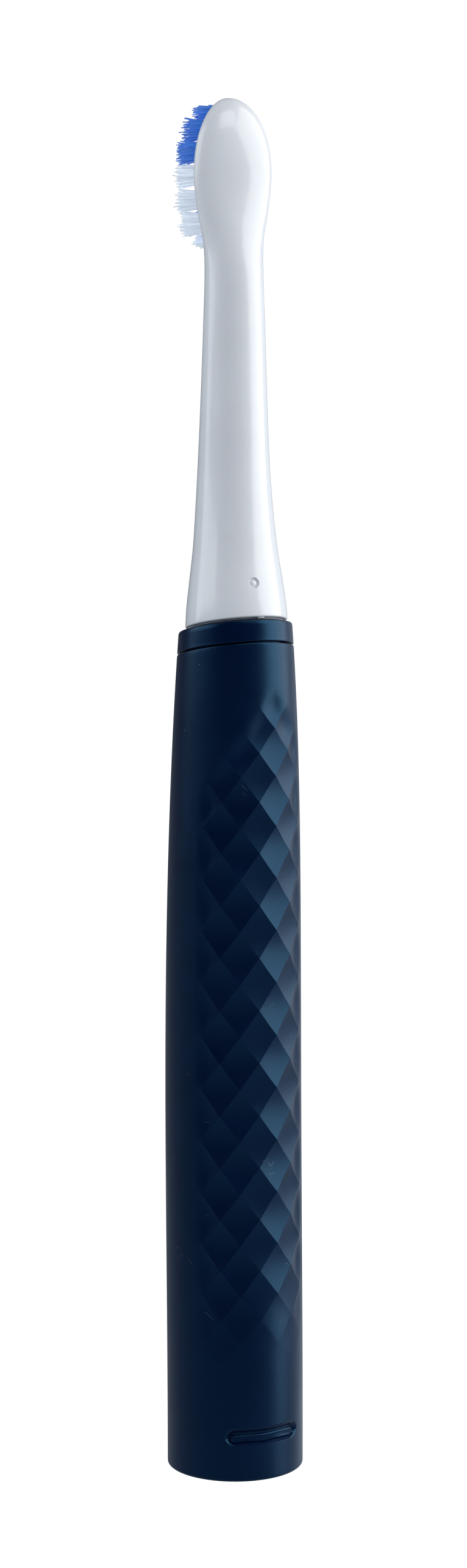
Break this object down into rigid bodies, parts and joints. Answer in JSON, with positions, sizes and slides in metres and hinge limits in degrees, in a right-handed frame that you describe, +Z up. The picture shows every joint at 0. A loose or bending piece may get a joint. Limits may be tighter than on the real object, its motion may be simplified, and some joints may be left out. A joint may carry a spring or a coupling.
{
  "type": "electric toothbrush",
  "caption": "Cordless electric toothbrush: slim bowed handle with a sonic motor, battery, charging socket in the foot and latch, and a pull-off brush head with tufted bristles.",
  "frame": {"origin": "on the handle's axis in the plane of its foot, at the mouth of the charger socket", "axes": "+Z up along the handle to the brush head; -Y to the front, where the bristles, button and lamps face; +Y to the back, where the grip pattern and the latch are"},
  "size_m": [0.0237, 0.0257, 0.236],
  "materials": {
    "white_plastic": "moulded, satin gloss",
    "clear_plastic": "clear, greyed",
    "bristle_blue": "nylon filament",
    "bristle_white": "nylon filament",
    "brass": "stamped",
    "spring_steel": "blued strip",
    "shaft_steel": "ground",
    "can_steel": "zinc plated",
    "core_steel": "stacked sheet",
    "magnet": "nickel plated",
    "bearing_bronze": "sintered",
    "copper_wire": "enamelled winding",
    "bobbin_plastic": "moulded",
    "navy_plastic": "satin, moulded",
    "black_rubber": "moulded",
    "grey_rubber": "silicone",
    "lens": "smoked clear",
    "frame_plastic": "glass filled",
    "board_green": "solder mask",
    "chip_black": "moulded package",
    "component": "ceramic",
    "lamp": "clear dome",
    "nickel": "nickel strip",
    "cell_steel": "plated can",
    "sleeve": "shrink film",
    "foam": "closed-cell foam",
    "ferrite": "sintered",
    "lead_red": "insulated wire",
    "screw_steel": "plated"
  },
  "bodies": {
    "brush_head": {"head_shell": "white_plastic", "head_insert": "clear_plastic", "shaft_clip": "spring_steel", "tuft_anchors": "brass", "bristles_toe_blue": "bristle_blue", "bristles_side_white": "bristle_white", "bristles_core_blue": "bristle_blue"},
    "rotor": {"drive_shaft": "shaft_steel", "rotor_hub": "core_steel", "rotor_magnets": "magnet"},
    "handle": {"handle_shell": "navy_plastic", "collar_ring": "navy_plastic", "collar_gasket": "grey_rubber", "shaft_seal": "black_rubber", "base_cap": "navy_plastic", "base_o_ring": "black_rubber", "latch_spring": "spring_steel", "button_membrane": "black_rubber", "button_switch": "chip_black", "indicator_lens": "lens", "chassis": "frame_plastic", "circuit_board": "board_green", "microcontroller": "chip_black", "board_parts": "component", "indicator_leds": "lamp", "board_screws": "screw_steel", "battery_cell": "cell_steel", "battery_sleeve": "sleeve", "battery_tabs": "nickel", "battery_pad": "foam", "charge_coil": "copper_wire", "coil_former": "bobbin_plastic", "coil_ferrite": "ferrite", "motor_leads": "lead_red", "coil_leads": "copper_wire", "motor_housing": "can_steel", "motor_end_plate": "can_steel", "front_bearing": "bearing_bronze", "rear_bearing": "bearing_bronze", "stator_core": "core_steel", "stator_bobbins": "bobbin_plastic", "stator_coils": "copper_wire", "torsion_spring": "spring_steel", "spring_anchor": "can_steel", "front_damper": "black_rubber", "rear_damper": "black_rubber"},
    "button": {"power_button": "navy_plastic", "switch_plunger": "bobbin_plastic"},
    "latch": {"base_latch": "navy_plastic"}
  },
  "joints": [
    {"name": "drive_sweep", "type": "hinge", "parent": "handle", "child": "rotor", "pos_m": [0, 0, 0.143], "axis": [0, 0, 1], "range_deg": [-5.5, 5.5], "stiffness_Nm_per_rad": 0.02, "deforming": ["torsion_spring"]},
    {"name": "head_pull", "type": "slide", "parent": "rotor", "child": "brush_head", "axis": [0, 0, 1], "range_m": [0, 0.034]},
    {"name": "button_press", "type": "slide", "parent": "handle", "child": "button", "axis": [0, 1, 0], "range_m": [0, 0.0004], "stiffness_N_per_m": 800, "deforming": ["button_membrane"]},
    {"name": "latch_press", "type": "slide", "parent": "handle", "child": "latch", "axis": [0, -1, 0], "range_m": [0, 0.0006], "stiffness_N_per_m": 1200, "deforming": ["latch_spring"]}
  ]
}
